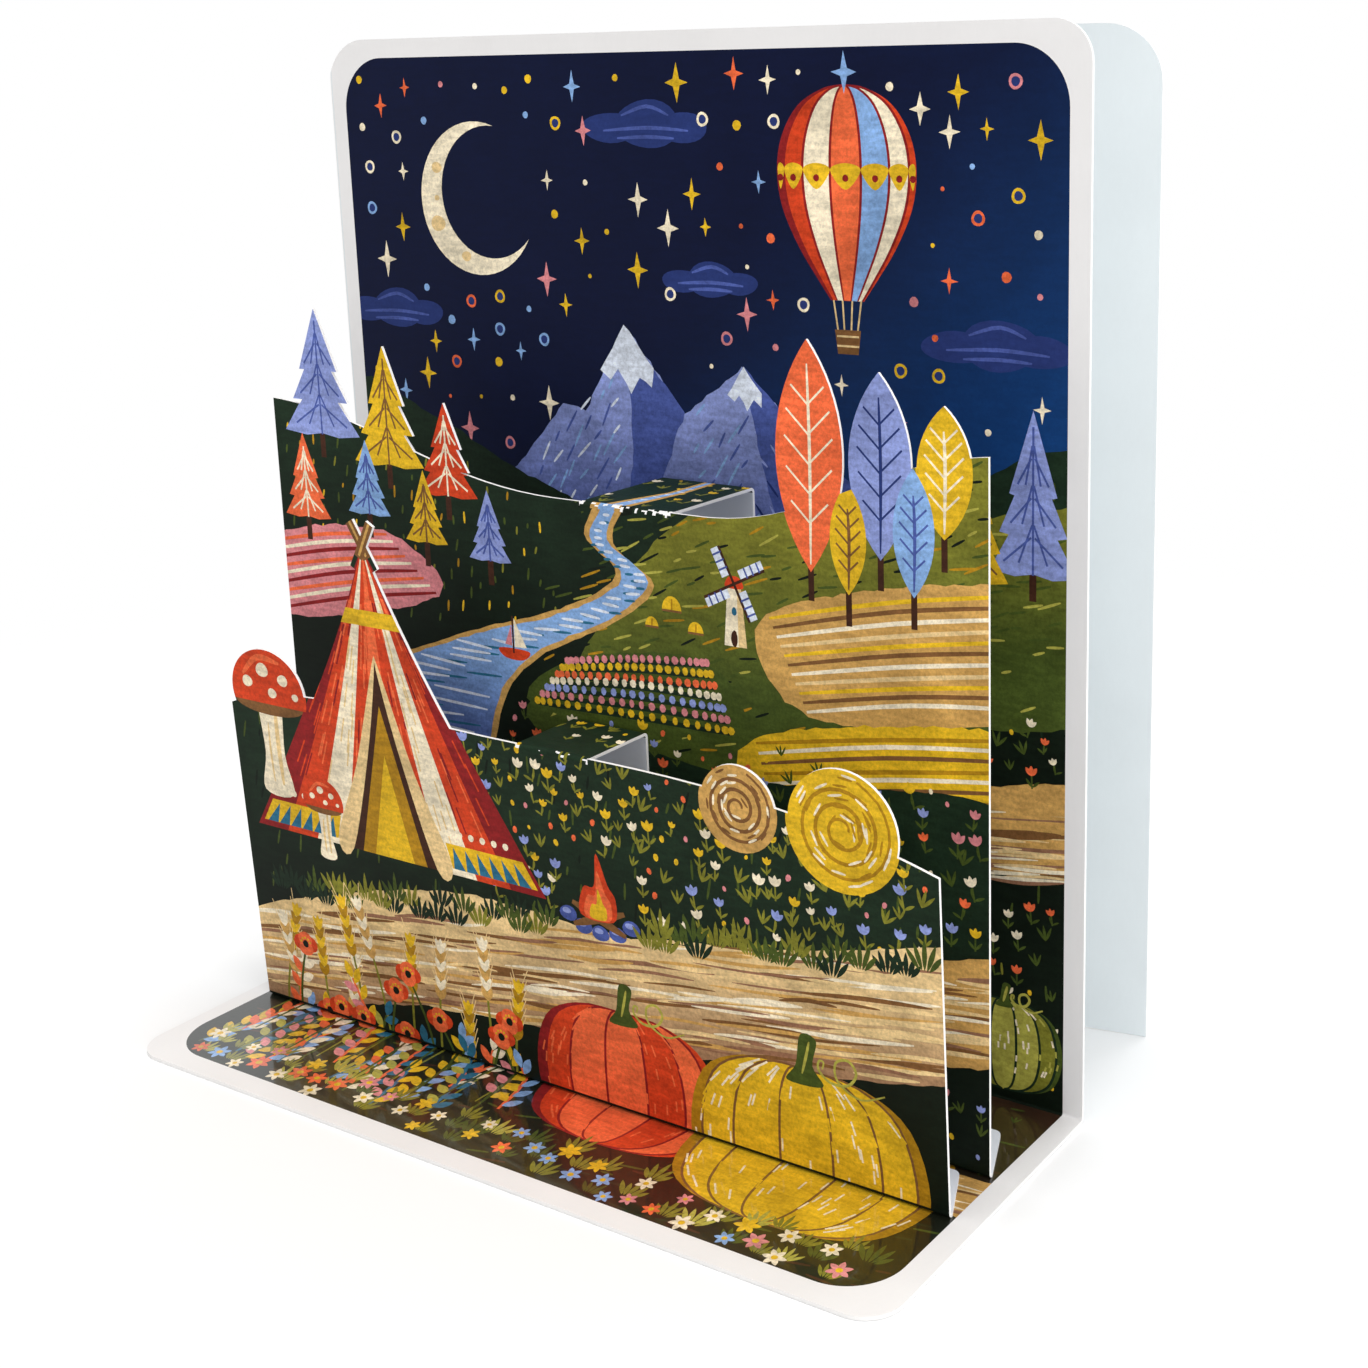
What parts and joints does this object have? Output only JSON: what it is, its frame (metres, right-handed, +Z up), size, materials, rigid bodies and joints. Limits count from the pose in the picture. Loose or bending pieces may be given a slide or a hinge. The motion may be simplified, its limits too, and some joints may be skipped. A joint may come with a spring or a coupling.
{
  "type": "pop-up greeting card",
  "caption": "Standing pop-up greeting card: folded cover board with an upright back, a splayed rear panel and die-cut scene layers glued to its base.",
  "frame": {"origin": "middle of the card's footprint, on the surface it stands on", "axes": "+X to the right and +Z up as the card is looked at from the front, +Y to the back"},
  "size_m": [0.15, 0.0916, 0.168],
  "materials": {
    "cover_board": "coated white board with a printed field, satin",
    "layer_card": "coated white card printed on the front, satin"
  },
  "bodies": {
    "root": {"card_cover": "cover_board", "middle_layer": "layer_card", "front_layer": "layer_card"}
  },
  "joints": []
}
